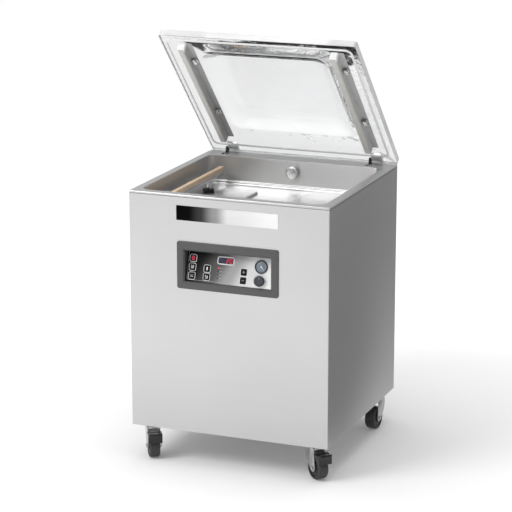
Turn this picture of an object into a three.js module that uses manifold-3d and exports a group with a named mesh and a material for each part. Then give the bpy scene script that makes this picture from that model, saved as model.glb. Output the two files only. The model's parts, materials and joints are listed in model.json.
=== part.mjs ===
// Floor-standing chamber vacuum packing machine: steel cabinet on casters, vacuum chamber, hinged clear lid.
// Millimetres, +Z up, front facing -Y. Y is first counted from the cabinet's front face, then the whole
// machine is shifted so that the origin is the middle of its footprint, on the floor.
import * as THREE from "three";
import { mergeVertices } from "three/addons/utils/BufferGeometryUtils.js";
import Module from "manifold-3d";

const wasm = await Module();
wasm.setup();

// ---- Driving dimensions ----
const GAP = 0.3; // between pieces that touch
const HALF_WIDTH = 350;
const DEPTH = 700;
const UNDERSIDE = 118;
const RIM = UNDERSIDE + 810;
const SHEET = 1.5;
const BEND = 4;
const LIP = 7;
const WRAP_TOP = RIM - LIP - SHEET;
const WRAP_REAR = DEPTH - SHEET - GAP;
const REAR_FLANGE = 20;

const CHAMBER = { halfWidth: 320, front: 32, rear: 620, corner: 30, depth: 100, wall: 2, fillet: 15 };
const PORT_CAP = { x: -7, z: RIM - 40, radius: 22.5, faceRadius: 19, depth: 11, faceDepth: 15 };
const NAME_PLATE = { left: -180, right: 176, bottom: RIM - 85, top: RIM - 36, front: -1.3 };
const FLOOR = RIM - CHAMBER.depth;
const UNDER_FLOOR = FLOOR - CHAMBER.wall - GAP;

const HINGE = { y: 684, z: RIM - 38, radius: 8, halfLength: 312 };
const OPEN_ANGLE = THREE.MathUtils.degToRad(45.7);
const CLAMP_X = 268;
const ARM = { offset: -14, halfWidth: 4, hub: 12, footFront: 644, footRear: 664 };
const SLOT = { halfWidth: 5.5, front: 640, rear: 697 };

const LID = { halfWidth: 348, front: 4, rear: 681, under: RIM + 5, top: RIM + 30, corner: 12 };
const DOME = { halfWidth: 228, front: 96, rear: 527, corner: 40 };
const GASKET = { halfWidth: 331, front: 20, rear: 632, corner: 25, width: 8 };
const COUNTER_BAR = { x: 268, front: 41, rear: 576, halfWidth: 12, face: RIM - 25, silicone: 3.7 };
const SEAL = { x: 264, front: 55, rear: 590, halfWidth: 8, top: RIM - 33, rail: RIM - 53, railHeight: 10 };
const SEAL_DROP = { left: 0, right: 14 }; // the right bar stands lower than the left one
const ROD = { radius: 10, front: 180, rear: 470, bottom: RIM - 135 };
const GUIDE = { halfWidth: 30, overhang: 40, floor: 8, bottom: ROD.bottom - 27 };
const NECK = { radius: 20, top: FLOOR + 12 };

const PANEL = { y: 17, z: RIM - 237.5, halfWidth: 152, halfHeight: 52.5 };
const TILT = THREE.MathUtils.degToRad(16);
const BEZEL = { halfWidth: 178, above: 30, below: 25, corner: 8, front: -5, wall: 3, back: 34, clearance: 4 };
const FASCIA = { halfWidth: 151.5, halfHeight: 53.5, thickness: 2 };
const KEY = { halfWidth: 10.5, halfHeight: 11, back: -1.6, front: 1.2, clearance: 0.4 };
const GAUGE = { u: 110, v: 16.1, radius: 22, back: -18, rim: 4 };
const KNOB = { u: 110, v: -30.7, radius: 16, stem: 3, height: 12.5 };

const GAS = { x: 8, y: 653.25, radius: 10, tubeTop: HINGE.z - 42, rod: 4, lever: 32, pin: 4 };
const BEAM = { bottom: HINGE.z - 192, top: HINGE.z - 186, front: 640, rear: 696, web: 40 };
const CHEEK = { x: 300, halfWidth: 3, front: 666, rear: 697, above: 16 };

const WHEEL = { radius: 40, halfWidth: 18, sides: 32, trail: 14, bore: 5.4 };
const AXLE_Z = WHEEL.radius * Math.cos(Math.PI / WHEEL.sides);
const PEDAL_PIVOT = { y: 6, z: 86, radius: 2.5 };
const CASTERS = {
  front_left: { x: -294, y: 46, swivel: 32, brake: true },
  front_right: { x: 294, y: 46, swivel: 51, brake: true },
  rear_left: { x: -315, y: 600, swivel: 12, brake: false },
  rear_right: { x: 315, y: 600, swivel: -6, brake: false },
};

const FINISHES = {
  steel: { color: 0xc4c4c2, roughness: 0.35, metalness: 0.9 },
  darkSteel: { color: 0x6a6c6e, roughness: 0.45, metalness: 0.8 },
  chrome: { color: 0xdcdcdc, roughness: 0.12, metalness: 1 },
  zinc: { color: 0xa8a9a6, roughness: 0.4, metalness: 0.85 },
  acrylic: { color: 0xeef2f3, roughness: 0.05, metalness: 0, transparent: true, opacity: 0.35 },
  blackPlastic: { color: 0x1b1b1d, roughness: 0.5, metalness: 0 },
  bezelPlastic: { color: 0x4b4c4e, roughness: 0.55, metalness: 0 },
  foil: { color: 0xb9bbbb, roughness: 0.35, metalness: 0.1 },
  display: { color: 0x2a0d10, roughness: 0.2, metalness: 0 },
  dial: { color: 0x6f7d88, roughness: 0.3, metalness: 0 },
  white: { color: 0xf1f1ee, roughness: 0.5, metalness: 0 },
  silicone: { color: 0xcfcfc8, roughness: 0.7, metalness: 0 },
  tape: { color: 0xc8ac8e, roughness: 0.6, metalness: 0 },
  rubber: { color: 0x2c2c2d, roughness: 0.75, metalness: 0 },
  paint: { color: 0x37536b, roughness: 0.45, metalness: 0.2 },
  board: { color: 0x1f5a35, roughness: 0.5, metalness: 0 },
};

// ---- Solids ----
const AXIS_TURN = {
  x: new THREE.Matrix4().set(0, 0, 1, 0, 1, 0, 0, 0, 0, 1, 0, 0, 0, 0, 0, 1),
  y: new THREE.Matrix4().makeRotationX(Math.PI / 2),
  z: new THREE.Matrix4(),
};

function solid(geometry) {
  const bare = new THREE.BufferGeometry();
  const loose = geometry.index ? geometry.toNonIndexed() : geometry;
  bare.setAttribute("position", loose.getAttribute("position"));
  const merged = mergeVertices(bare, 1e-4);
  return new wasm.Manifold(
    new wasm.Mesh({
      numProp: 3,
      vertProperties: merged.attributes.position.array,
      triVerts: new Uint32Array(merged.index.array),
    }),
  );
}

function join(...solids) {
  return solids.reduce((sum, next) => sum.add(next));
}

function cut(body, ...tools) {
  return tools.reduce((rest, tool) => rest.subtract(tool), body);
}

// A flat outline pushed along an axis: outlines are (y, z) along x, (x, z) along y and (x, y) along z.
function extrude(axis, outline, from, to, holes = []) {
  const shape = new THREE.Shape(outline);
  shape.holes = holes.map((hole) => new THREE.Path(hole));
  const geometry = new THREE.ExtrudeGeometry(shape, { depth: to - from, bevelEnabled: false });
  geometry.translate(0, 0, axis === "y" ? -to : from);
  geometry.applyMatrix4(AXIS_TURN[axis]);
  return solid(geometry);
}

function points(...pairs) {
  return pairs.map(([a, b]) => new THREE.Vector2(a, b));
}

function rectangle(a0, a1, b0, b1) {
  return points([a0, b0], [a1, b0], [a1, b1], [a0, b1]);
}

function arc(a, b, radius, start, end, steps) {
  return Array.from({ length: steps + 1 }, (_, i) => {
    const angle = start + ((end - start) * i) / steps;
    return new THREE.Vector2(a + radius * Math.cos(angle), b + radius * Math.sin(angle));
  });
}

function circle(a, b, radius, sides = 24) {
  return arc(a, b, radius, 0, 2 * Math.PI, sides).slice(0, sides);
}

function roundedRectangle(a0, a1, b0, b1, radius, steps = 4) {
  const quarter = Math.PI / 2;
  return [
    ...arc(a1 - radius, b0 + radius, radius, -quarter, 0, steps),
    ...arc(a1 - radius, b1 - radius, radius, 0, quarter, steps),
    ...arc(a0 + radius, b1 - radius, radius, quarter, 2 * quarter, steps),
    ...arc(a0 + radius, b0 + radius, radius, 2 * quarter, 3 * quarter, steps),
  ];
}

function block(x0, x1, y0, y1, z0, z1) {
  const geometry = new THREE.BoxGeometry(x1 - x0, y1 - y0, z1 - z0);
  geometry.translate((x0 + x1) / 2, (y0 + y1) / 2, (z0 + z1) / 2);
  return solid(geometry);
}

function cylinder(axis, a, b, radius, from, to, sides = 24) {
  return extrude(axis, circle(a, b, radius, sides), from, to);
}

// A (radius, height) profile turned about +Z, or about +X where it is laid over.
function turned(profile, sides, alongX = false) {
  const geometry = new THREE.LatheGeometry(points(...profile), sides);
  if (alongX) {
    geometry.rotateY(Math.PI / sides);
    geometry.rotateZ(-Math.PI / 2);
  } else {
    geometry.rotateX(Math.PI / 2);
  }
  return solid(geometry);
}

// A shell through level outlines with the same number of points, from the lowest to the highest.
function loft(levels) {
  const count = levels[0].outline.length;
  const corners = levels.flatMap(({ outline, z }) => outline.map((p) => [p.x, p.y, z]));
  const faces = [];
  for (let level = 0; level + 1 < levels.length; level++) {
    for (let i = 0; i < count; i++) {
      const here = level * count + i;
      const next = level * count + ((i + 1) % count);
      faces.push([here, next, next + count], [here, next + count, here + count]);
    }
  }
  const last = (levels.length - 1) * count;
  for (let i = 1; i + 1 < count; i++) {
    faces.push([0, i + 1, i], [last, last + i, last + i + 1]);
  }
  const geometry = new THREE.BufferGeometry();
  const places = new Float32Array(faces.flat().flatMap((corner) => corners[corner]));
  geometry.setAttribute("position", new THREE.BufferAttribute(places, 3));
  return solid(geometry);
}

function geometryOf(made) {
  const { numProp, numVert, vertProperties, triVerts } = made.getMesh();
  const places = new Float32Array(numVert * 3);
  for (let i = 0; i < numVert; i++) {
    places.set(vertProperties.subarray(i * numProp, i * numProp + 3), i * 3);
  }
  const geometry = new THREE.BufferGeometry();
  geometry.setAttribute("position", new THREE.BufferAttribute(places, 3));
  geometry.setIndex(new THREE.BufferAttribute(new Uint32Array(triVerts), 1));
  return geometry;
}

function add(group, name, finish, made) {
  const material = new THREE.MeshStandardMaterial({ ...FINISHES[finish], flatShading: true });
  const mesh = new THREE.Mesh(geometryOf(made), material);
  mesh.name = name;
  group.add(mesh);
}

const SIDES = { left: -1, right: 1 };
const machine = new THREE.Group();

// ---- Cabinet ----
function housingWrap() {
  const inner = HALF_WIDTH - SHEET;
  const straight = HALF_WIDTH - BEND;
  const quarter = Math.PI / 2;
  const outline = [
    ...points([REAR_FLANGE - HALF_WIDTH, WRAP_REAR], [-HALF_WIDTH, WRAP_REAR]),
    ...arc(-straight, BEND, BEND, 2 * quarter, 3 * quarter, 3),
    ...arc(straight, BEND, BEND, 3 * quarter, 4 * quarter, 3),
    ...points([HALF_WIDTH, WRAP_REAR], [HALF_WIDTH - REAR_FLANGE, WRAP_REAR]),
    ...points([HALF_WIDTH - REAR_FLANGE, WRAP_REAR - SHEET], [inner, WRAP_REAR - SHEET]),
    ...arc(straight, BEND, BEND - SHEET, 4 * quarter, 3 * quarter, 3),
    ...arc(-straight, BEND, BEND - SHEET, 3 * quarter, 2 * quarter, 3),
    ...points([-inner, WRAP_REAR - SHEET], [REAR_FLANGE - HALF_WIDTH, WRAP_REAR - SHEET]),
  ];
  const holeWidth = PANEL.halfWidth + BEZEL.clearance;
  const holeHeight = PANEL.halfHeight + BEZEL.clearance;
  const panelHole = block(-holeWidth, holeWidth, -1, 2 * SHEET, PANEL.z - holeHeight, PANEL.z + holeHeight);
  return cut(extrude("z", outline, UNDERSIDE, WRAP_TOP), panelHole);
}

const INLET = { x: 270, z: UNDERSIDE + 55, halfWidth: 24, halfHeight: 14 };
const VENT = { x: 170, lowest: UNDERSIDE + 130, pitch: 16, rows: 9, halfWidth: 60, halfHeight: 2.5 };
const PAN = { bottom: UNDERSIDE + 2, height: 20 };

function rearCover() {
  const edge = HALF_WIDTH - 1;
  const front = DEPTH - SHEET;
  const sheet = block(-edge, edge, front, DEPTH, PAN.bottom, WRAP_TOP);
  const through = (x, z, halfWidth, halfHeight) =>
    block(x - halfWidth, x + halfWidth, front - 1, DEPTH + 1, z - halfHeight, z + halfHeight);
  const openings = [through(INLET.x, INLET.z, INLET.halfWidth, INLET.halfHeight)];
  for (const side of Object.values(SIDES)) {
    for (let row = 0; row < VENT.rows; row++) {
      const z = VENT.lowest + row * VENT.pitch;
      openings.push(through(side * VENT.x, z, VENT.halfWidth, VENT.halfHeight));
    }
  }
  return cut(sheet, ...openings);
}

function basePan() {
  const side = HALF_WIDTH - BEND;
  const front = SHEET + GAP + 1;
  const rear = WRAP_REAR - SHEET - GAP;
  const { bottom, height } = PAN;
  const tray = block(-side, side, front, rear, bottom, bottom + height);
  const inner = side - SHEET;
  return cut(tray, block(-inner, inner, front + SHEET, rear - SHEET, bottom + SHEET, bottom + height + 1));
}

// One level of the tub, drawn in from the opening by an inset.
function chamberLevel(inset, z) {
  const { halfWidth, front, rear, corner } = CHAMBER;
  const side = halfWidth - inset;
  return { outline: roundedRectangle(-side, side, front + inset, rear - inset, corner - inset / 2), z };
}

function filletLevels(radius, floor, offset) {
  return [0, 30, 60, 90].map((degrees) => {
    const angle = THREE.MathUtils.degToRad(degrees);
    const inset = radius * (1 - Math.sin(angle)) - offset;
    return chamberLevel(inset, floor + radius * (1 - Math.cos(angle)));
  });
}

function vacuumChamber() {
  const { fillet, wall } = CHAMBER;
  const edge = (inset) =>
    roundedRectangle(inset - HALF_WIDTH, HALF_WIDTH - inset, inset, DEPTH - inset, BEND, 2);
  const flange = extrude("z", edge(0), RIM - LIP, RIM);
  const underFlange = extrude("z", edge(SHEET), RIM - LIP - 1, RIM - wall);
  const outerFillet = filletLevels(fillet + wall, FLOOR - wall, wall);
  const outside = loft([...outerFillet, chamberLevel(-wall, RIM - wall / 2)]);
  const inside = loft([...filletLevels(fillet, FLOOR, 0), chamberLevel(0, RIM + 1)]);
  const top = cut(flange, underFlange);
  const tools = [inside];
  for (const side of Object.values(SIDES)) {
    const x = side * CLAMP_X + ARM.offset;
    tools.push(block(x - SLOT.halfWidth, x + SLOT.halfWidth, SLOT.front, SLOT.rear, RIM - LIP, RIM + 1));
    for (const y of [ROD.front, ROD.rear]) {
      tools.push(cylinder("z", side * SEAL.x, y, NECK.radius + 0.6, FLOOR - 9, FLOOR + 9));
    }
  }
  return cut(join(top, outside), ...tools);
}

function portCap() {
  const wall = CHAMBER.rear - GAP;
  const { x, z, radius, faceRadius, depth, faceDepth } = PORT_CAP;
  return join(
    cylinder("y", x, z, radius, wall - depth, wall, 32),
    cylinder("y", x, z, faceRadius, wall - faceDepth, wall - depth + 1, 32),
  );
}

function namePlate() {
  const { left, right, bottom, top, front } = NAME_PLATE;
  return block(left, right, front, -GAP, bottom, top);
}

add(machine, "housing_wrap", "steel", housingWrap());
add(machine, "rear_cover", "steel", rearCover());
add(machine, "base_pan", "darkSteel", basePan());
add(machine, "vacuum_chamber", "steel", vacuumChamber());
add(machine, "chamber_port_cap", "steel", portCap());
add(machine, "name_plate", "foil", namePlate());

// ---- Control panel ----
function panelBezel() {
  const { z, halfWidth, halfHeight } = PANEL;
  const { wall, back, front } = BEZEL;
  const bottom = z - halfHeight;
  const top = z + halfHeight;
  const frame = [-BEZEL.halfWidth, BEZEL.halfWidth, bottom - BEZEL.below, top + BEZEL.above, BEZEL.corner];
  const face = extrude("y", roundedRectangle(...frame), front, -GAP);
  const tunnel = block(-halfWidth - wall, halfWidth + wall, -1, back, bottom - wall, top + wall);
  return cut(join(face, tunnel), block(-halfWidth, halfWidth, front - 1, back + 1, bottom, top));
}

add(machine, "panel_bezel", "bezelPlastic", panelBezel());

// Fascia, keys, display, gauge and knob share a frame that leans back: u across, v up its face, w outwards.
const panel = new THREE.Group();
panel.position.set(0, PANEL.y, PANEL.z);
panel.rotation.x = Math.PI / 2 - TILT;
machine.add(panel);

const DISPLAY = { u: -15, v: 24.4, halfWidth: 26, halfHeight: 9.5 };
const KEYS = {
  key_program: [-130, 23.4],
  key_seal: [-130, -5.7],
  key_stop: [-130, -34.8],
  key_vacuum: [-78, -6.8],
  key_gas: [-78, -33.8],
  key_up: [51, -6.8],
  key_down: [51, -34.3],
};

function around(u, v, halfWidth, halfHeight, clearance = 0) {
  const width = halfWidth + clearance;
  const height = halfHeight + clearance;
  return rectangle(u - width, u + width, v - height, v + height);
}

function panelFascia() {
  const { halfWidth, halfHeight, thickness } = FASCIA;
  const sheet = block(-halfWidth, halfWidth, -halfHeight, halfHeight, -thickness, 0);
  const places = Object.values(KEYS);
  const openings = places.map(([u, v]) => around(u, v, KEY.halfWidth, KEY.halfHeight, KEY.clearance));
  openings.push(around(DISPLAY.u, DISPLAY.v, DISPLAY.halfWidth, DISPLAY.halfHeight, GAP));
  openings.push(circle(GAUGE.u, GAUGE.v, GAUGE.radius + 0.4, 32));
  openings.push(circle(KNOB.u, KNOB.v, KNOB.stem + 1, 12));
  return cut(sheet, ...openings.map((outline) => extrude("z", outline, -thickness - 1, 1)));
}

function gaugeNeedle() {
  const { u, v } = GAUGE;
  const pointer = points([-6, -1.6], [15, -0.4], [15, 0.4], [-6, 1.6]);
  const turn = THREE.MathUtils.degToRad(-48);
  const outline = pointer.map((p) => p.rotateAround(new THREE.Vector2(), turn).add(new THREE.Vector2(u, v)));
  return join(extrude("z", outline, 1.3, 2.1), cylinder("z", u, v, 2.5, 1.3, 2.3, 12));
}

function vacuumGauge() {
  const { radius, back, rim } = GAUGE;
  const profile = [[0, back], [radius, back], [radius, rim], [radius - 2.5, rim], [radius - 3, 1], [0, 1]];
  return turned(profile, 32).translate([GAUGE.u, GAUGE.v, 0]);
}

function regulatorKnob() {
  const { radius, stem, height } = KNOB;
  const profile = [[0, -8], [stem, -8], [stem, GAP], [radius, GAP], [radius - 0.8, height - 2],
    [radius - 3, height], [0, height]];
  return turned(profile, 24).translate([KNOB.u, KNOB.v, 0]);
}

add(panel, "panel_fascia", "foil", panelFascia());
for (const [name, [u, v]] of Object.entries(KEYS)) {
  const cap = extrude("z", around(u, v, KEY.halfWidth, KEY.halfHeight), KEY.back, KEY.front);
  add(panel, name, "blackPlastic", cap);
}
const displayOutline = around(DISPLAY.u, DISPLAY.v, DISPLAY.halfWidth, DISPLAY.halfHeight);
add(panel, "display_module", "display", extrude("z", displayOutline, -12, 0.8));
add(panel, "vacuum_gauge", "dial", vacuumGauge());
add(panel, "gauge_needle", "white", gaugeNeedle());
add(panel, "regulator_knob", "blackPlastic", regulatorKnob());
add(panel, "control_board", "board", block(-145, 85, -45, 45, -22, -20));

// ---- Lid: modelled closed, then swung open about the hinge ----
const lid = new THREE.Group();
lid.position.set(0, HINGE.y, HINGE.z);
lid.rotation.x = -OPEN_ANGLE;
const closedLid = new THREE.Group();
closedLid.position.set(0, -HINGE.y, -HINGE.z);
lid.add(closedLid);
machine.add(lid);

function domeLevel(inset, z) {
  const { halfWidth, front, rear, corner } = DOME;
  const side = halfWidth - inset;
  return { outline: roundedRectangle(-side, side, front + inset, rear - inset, corner - inset / 2), z };
}

function lidShell() {
  const { halfWidth, front, rear, under, top, corner } = LID;
  const plate = extrude("z", roundedRectangle(-halfWidth, halfWidth, front, rear, corner), under, top);
  const outside = [[-7, top - 4], [-1, top + 17], [7, top + 28], [20, top + 33]];
  const inside = [[0, under - 1], [2, under + 7], [9, under + 30], [17, under + 41], [28, under + 45]];
  const bulge = loft(outside.map(([inset, z]) => domeLevel(inset, z)));
  const cavity = loft(inside.map(([inset, z]) => domeLevel(inset, z)));
  return cut(join(plate, bulge), cavity);
}

function lidGasket() {
  const { halfWidth, front, rear, corner, width } = GASKET;
  const ring = (inset) =>
    roundedRectangle(inset - halfWidth, halfWidth - inset, front + inset, rear - inset, corner - inset);
  return extrude("z", ring(0), RIM + GAP, LID.under - GAP, [ring(width)]);
}

function counterSilicone(x) {
  const { front, rear, face, silicone } = COUNTER_BAR;
  return block(x - 10, x + 10, front, rear, face, face + silicone);
}

function counterBar(x) {
  const { front, rear, halfWidth, face, silicone } = COUNTER_BAR;
  const top = LID.under - GAP;
  return join(
    block(x - halfWidth, x + halfWidth, front, rear, face + silicone + GAP, top),
    block(x + halfWidth - 1, x + halfWidth + 20, front, rear, top - 3, top),
  );
}

// A bar with round ends between two (y, z) places.
function link(from, to, radiusFrom, radiusTo, x0, x1) {
  const along = new THREE.Vector2().subVectors(to, from);
  const across = new THREE.Vector2(-along.y, along.x).normalize();
  const quad = [
    from.clone().addScaledVector(across, -radiusFrom),
    to.clone().addScaledVector(across, -radiusTo),
    to.clone().addScaledVector(across, radiusTo),
    from.clone().addScaledVector(across, radiusFrom),
  ];
  return join(
    extrude("x", quad, x0, x1),
    cylinder("x", from.x, from.y, radiusFrom, x0, x1, 16),
    cylinder("x", to.x, to.y, radiusTo, x0, x1, 16),
  );
}

function hingeShaft() {
  const axis = new THREE.Vector2(HINGE.y, HINGE.z);
  const drop = -OPEN_ANGLE / 2;
  const pin = new THREE.Vector2(-Math.cos(drop), Math.sin(drop)).multiplyScalar(GAS.lever).add(axis);
  return join(
    cylinder("x", HINGE.y, HINGE.z, HINGE.radius, -HINGE.halfLength, HINGE.halfLength),
    link(axis, pin, 13, 7.5, -5, 3),
    cylinder("x", pin.x, pin.y, GAS.pin, 0, 13, 16),
  );
}

// Closed, the arm leans forward from the shaft to a foot under the lid; open, it stands up through the rim.
function hingeArm(x) {
  const x0 = x - ARM.halfWidth;
  const x1 = x + ARM.halfWidth;
  const foot = LID.under - GAP;
  const { y, z, radius } = HINGE;
  const outline = points([y - 11, z - 4], [y + 8, z + 8], [ARM.footRear, foot - 6], [ARM.footRear, foot],
    [ARM.footFront, foot], [ARM.footFront, foot - 6]);
  const arm = join(cylinder("x", y, z, ARM.hub, x0, x1), extrude("x", outline, x0, x1));
  return cut(arm, cylinder("x", y, z, radius + GAP, x0 - 1, x1 + 1));
}

// A chrome block on the lid's outer face, with a lip that hooks over its rear edge.
function lidClamp(x) {
  const plate = block(x - 19, x + 19, 646, 691, LID.top + GAP, LID.top + 14);
  return join(plate, block(x - 19, x + 19, LID.rear + 0.5, 691, LID.under + 4, LID.top + 1));
}

add(closedLid, "lid_shell", "acrylic", lidShell());
add(closedLid, "lid_gasket", "white", lidGasket());
add(closedLid, "hinge_shaft", "zinc", hingeShaft());
for (const [name, side] of Object.entries(SIDES)) {
  const x = side * COUNTER_BAR.x;
  add(closedLid, `counter_bar_${name}`, "foil", counterBar(x));
  add(closedLid, `counter_silicone_${name}`, "silicone", counterSilicone(x));
  add(closedLid, `hinge_arm_${name}`, "blackPlastic", hingeArm(side * CLAMP_X + ARM.offset));
  add(closedLid, `lid_clamp_${name}`, "chrome", lidClamp(side * CLAMP_X));
}

// ---- Hinge frame and gas spring ----
function hingeFrame() {
  const side = HALF_WIDTH - SHEET - GAP;
  const cheeks = Object.values(SIDES).map((s) => {
    const x0 = s * CHEEK.x - CHEEK.halfWidth;
    const x1 = s * CHEEK.x + CHEEK.halfWidth;
    const cheek = block(x0, x1, CHEEK.front, CHEEK.rear, BEAM.bottom, HINGE.z + CHEEK.above);
    return cut(cheek, cylinder("x", HINGE.y, HINGE.z, HINGE.radius + GAP, x0 - 1, x1 + 1));
  });
  const thickness = BEAM.top - BEAM.bottom;
  const shelf = block(-side, side, BEAM.front, BEAM.rear, BEAM.bottom, BEAM.top);
  const web = block(-side, side, BEAM.front, BEAM.front + thickness, BEAM.bottom - BEAM.web, BEAM.bottom + 1);
  return join(shelf, web, ...cheeks);
}

function gasCylinder() {
  const tube = cylinder("z", GAS.x, GAS.y, GAS.radius, BEAM.top + GAP, GAS.tubeTop);
  return cut(tube, cylinder("z", GAS.x, GAS.y, GAS.rod + 0.4, GAS.tubeTop - 80, GAS.tubeTop + 1, 16));
}

function gasRod() {
  const pinZ = HINGE.z + GAS.lever * Math.sin(OPEN_ANGLE / 2);
  const eye = block(GAS.x - 3, GAS.x + 3, GAS.y - 10.5, GAS.y + 10.5, pinZ - 9.5, pinZ + 9.5);
  const slot = block(GAS.x - 4, GAS.x + 4, GAS.y - 5.8, GAS.y + 5.8, pinZ - 4.4, pinZ + 4.4);
  const rod = cylinder("z", GAS.x, GAS.y, GAS.rod, GAS.tubeTop - 40, pinZ - 9, 16);
  return join(rod, cut(eye, slot));
}

add(machine, "hinge_frame", "darkSteel", hingeFrame());
add(machine, "gas_cylinder", "blackPlastic", gasCylinder());
add(machine, "gas_rod", "chrome", gasRod());

// ---- Seal bars on their lift rods ----
function sealBar(x) {
  return block(x - SEAL.halfWidth, x + SEAL.halfWidth, SEAL.front, SEAL.rear, SEAL.rail + GAP, SEAL.top);
}

function sealLift(x) {
  const bottom = SEAL.rail - SEAL.railHeight;
  const rail = block(x - SEAL.halfWidth, x + SEAL.halfWidth, SEAL.front, SEAL.rear, bottom, SEAL.rail);
  const rods = [ROD.front, ROD.rear].map((y) => cylinder("z", x, y, ROD.radius, ROD.bottom, bottom + 1));
  return join(rail, ...rods);
}

function sealGuide(x) {
  const front = ROD.front - GUIDE.overhang;
  const rear = ROD.rear + GUIDE.overhang;
  const housing = block(x - GUIDE.halfWidth, x + GUIDE.halfWidth, front, rear, GUIDE.bottom, UNDER_FLOOR);
  const necks = [];
  const bores = [];
  for (const y of [ROD.front, ROD.rear]) {
    necks.push(cylinder("z", x, y, NECK.radius, UNDER_FLOOR - 1, NECK.top));
    bores.push(cylinder("z", x, y, ROD.radius + 0.4, GUIDE.bottom + GUIDE.floor, NECK.top + 1));
  }
  return cut(join(housing, ...necks), ...bores);
}

for (const [name, side] of Object.entries(SIDES)) {
  const x = side * SEAL.x;
  const lowered = [0, 0, -SEAL_DROP[name]];
  add(machine, `seal_bar_${name}`, "tape", sealBar(x).translate(lowered));
  add(machine, `seal_lift_${name}`, "chrome", sealLift(x).translate(lowered));
  add(machine, `seal_guide_${name}`, "blackPlastic", sealGuide(x));
}

// ---- Machinery inside the cabinet, standing on the base pan ----
const PAN_TOP = PAN.bottom + SHEET + GAP;
const PUMP = { left: -290, right: -40, front: 230, rear: 410, bottom: 130, top: 340 };
const SUCTION = { x: -180, y: 300, radius: 22, top: 352 };
const MOTOR = { y: 320, z: 230, radius: 80, end: 190 };
const VALVES = { y: 510, halfWidth: 60, halfDepth: 40, height: 52, coilHeight: 40, coilRadius: 15 };
const TRANSFORMER = { left: 220, right: 320, front: 150, rear: 200, top: 210, coil: 12, coilDepth: 20 };

function vacuumPump() {
  const { left, right, front, rear, bottom, top } = PUMP;
  const feet = [left + 20, right - 50].map((x) => block(x, x + 30, front + 5, rear - 5, PAN_TOP, bottom + 1));
  const fins = Array.from({ length: 6 }, (_, i) => {
    const y = front + 10 + i * 30;
    return block(left - 10, left + 5, y, y + 6, bottom + 20, top - 20);
  });
  const casing = block(left, right, front, rear, bottom, top);
  const sump = block(left + 40, right - 40, rear, rear + 40, bottom + 10, top - 80);
  const inlet = cylinder("z", SUCTION.x, SUCTION.y, SUCTION.radius, top - 1, SUCTION.top);
  return join(casing, sump, inlet, ...feet, ...fins);
}

function pumpMotor() {
  const { y, z, radius, end } = MOTOR;
  const body = cylinder("x", y, z, radius, PUMP.right + GAP, end);
  const fanCover = cylinder("x", y, z, radius - 10, end - 1, end + 25);
  const terminalBox = block(20, 110, y - 45, y + 45, z + 70, z + 115);
  const foot = block(10, 120, y - 60, y + 60, PAN_TOP, z - 60);
  return join(body, fanCover, terminalBox, foot);
}

function valveBlock() {
  const { y, halfWidth, halfDepth, height, coilHeight, coilRadius } = VALVES;
  const bottom = UNDER_FLOOR - height;
  const coils = [-35, 0, 35].map((x) => cylinder("z", x, y, coilRadius, bottom - coilHeight, bottom + 1, 16));
  return join(block(-halfWidth, halfWidth, y - halfDepth, y + halfDepth, bottom, UNDER_FLOOR), ...coils);
}

function vacuumHose() {
  const valvePort = UNDER_FLOOR - VALVES.height / 2 - 1;
  const route = new THREE.CatmullRomCurve3([
    new THREE.Vector3(SUCTION.x, SUCTION.y, SUCTION.top + GAP),
    new THREE.Vector3(SUCTION.x, SUCTION.y, 450),
    new THREE.Vector3(SUCTION.x, 330, 620),
    new THREE.Vector3(-170, 430, 735),
    new THREE.Vector3(-120, VALVES.y, valvePort),
    new THREE.Vector3(-VALVES.halfWidth - 8 * GAP, VALVES.y, valvePort),
  ]);
  const section = new THREE.Shape(circle(0, 0, 16, 10));
  return solid(new THREE.ExtrudeGeometry(section, { steps: 14, extrudePath: route }));
}

function sealingTransformer() {
  const { left, right, front, rear, top, coil, coilDepth } = TRANSFORMER;
  const core = block(left, right, front, rear, PAN_TOP, top);
  const winding = block(left + coil, right - coil, front - coilDepth, rear + coilDepth, PAN_TOP + 18, top - 18);
  return join(core, winding);
}

function mainsInlet() {
  const { x, z } = INLET;
  const halfWidth = INLET.halfWidth - 0.5;
  const halfHeight = INLET.halfHeight - 0.5;
  const body = block(x - halfWidth, x + halfWidth, DEPTH - 28, DEPTH + 1, z - halfHeight, z + halfHeight);
  const flange = block(x - 30, x + 30, DEPTH + GAP, DEPTH + 3, z - 19, z + 19);
  const socket = block(x - 12, x + 12, DEPTH - 16, DEPTH + 4, z - 8, z + 8);
  return cut(join(body, flange), socket);
}

add(machine, "vacuum_pump", "paint", vacuumPump());
add(machine, "pump_motor", "paint", pumpMotor());
add(machine, "valve_block", "darkSteel", valveBlock());
add(machine, "vacuum_hose", "rubber", vacuumHose());
add(machine, "sealing_transformer", "darkSteel", sealingTransformer());
add(machine, "mains_inlet", "blackPlastic", mainsInlet());

// ---- Casters: the wheel trails towards the caster's own -Y ----
const CROWN = { radius: 26, bottom: 103, top: 108 };
const LEG = { inner: 19.7, outer: 22.2 };
const PLATE = { halfWidth: 30, thickness: 4, bossRadius: 20 };

function casterPlate() {
  const top = UNDERSIDE + 2 - GAP;
  const { halfWidth: half, thickness, bossRadius } = PLATE;
  const plate = block(-half, half, -half, half, top - thickness, top);
  return join(plate, cylinder("z", 0, 0, bossRadius, CROWN.top + GAP, top - thickness + 1));
}

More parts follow.
